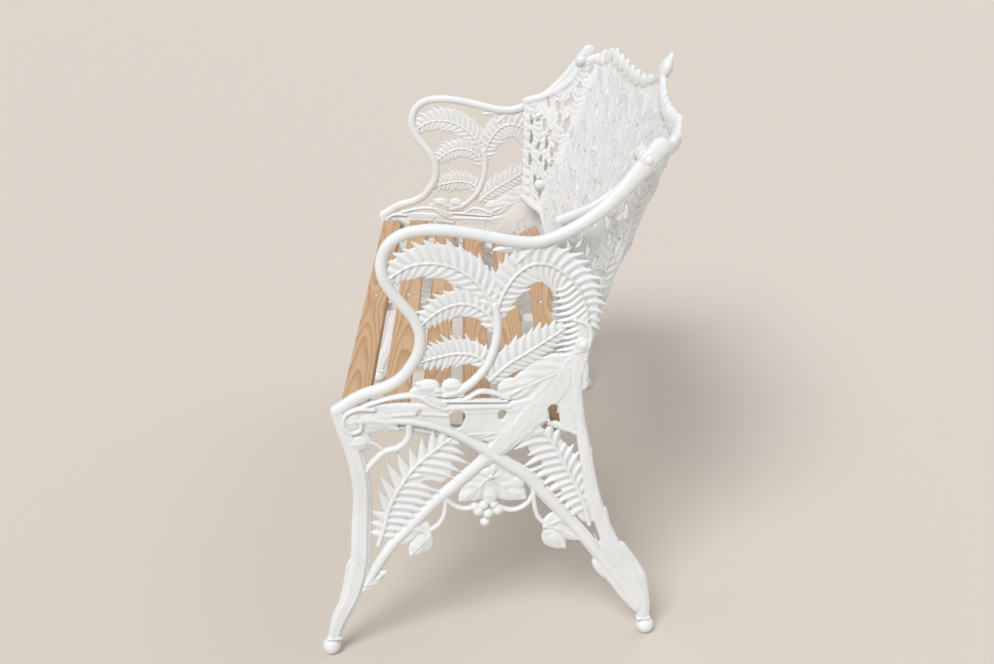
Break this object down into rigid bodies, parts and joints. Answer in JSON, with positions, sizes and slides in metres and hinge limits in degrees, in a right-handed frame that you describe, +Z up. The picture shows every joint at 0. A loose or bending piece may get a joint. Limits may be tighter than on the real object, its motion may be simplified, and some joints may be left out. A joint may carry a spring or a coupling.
{
  "type": "garden bench",
  "caption": "White cast iron garden bench with fern openwork ends and back, splayed legs on ball feet, and a seat of lengthwise wooden slats.",
  "frame": {"origin": "middle of the bench on the floor: bottom centre of the bounding box", "axes": "+X along the bench towards the right-hand end seen from the front, -Y towards the sitter's feet, +Z up"},
  "size_m": [1.1028, 0.5969, 0.8626],
  "materials": {
    "white_paint": "satin white paint over cast iron",
    "slat_wood": "oiled softwood with bold grain",
    "bolt_steel": "zinc plated"
  },
  "bodies": {
    "root": {"end_casting_right": "white_paint", "end_casting_left": "white_paint", "back_casting": "white_paint", "centre_strap": "white_paint", "back_upper_bolts": "white_paint", "back_lower_bolts": "white_paint", "back_upper_nuts": "white_paint", "back_lower_nuts": "white_paint", "slat_1": "slat_wood", "slat_2": "slat_wood", "slat_3": "slat_wood", "slat_4": "slat_wood", "slat_5": "slat_wood", "slat_6": "slat_wood", "slat_bolts_right": "bolt_steel", "slat_bolts_left": "bolt_steel", "slat_bolts_middle": "bolt_steel", "slat_nuts_right": "bolt_steel", "slat_nuts_left": "bolt_steel", "slat_nuts_middle": "bolt_steel"}
  },
  "joints": []
}
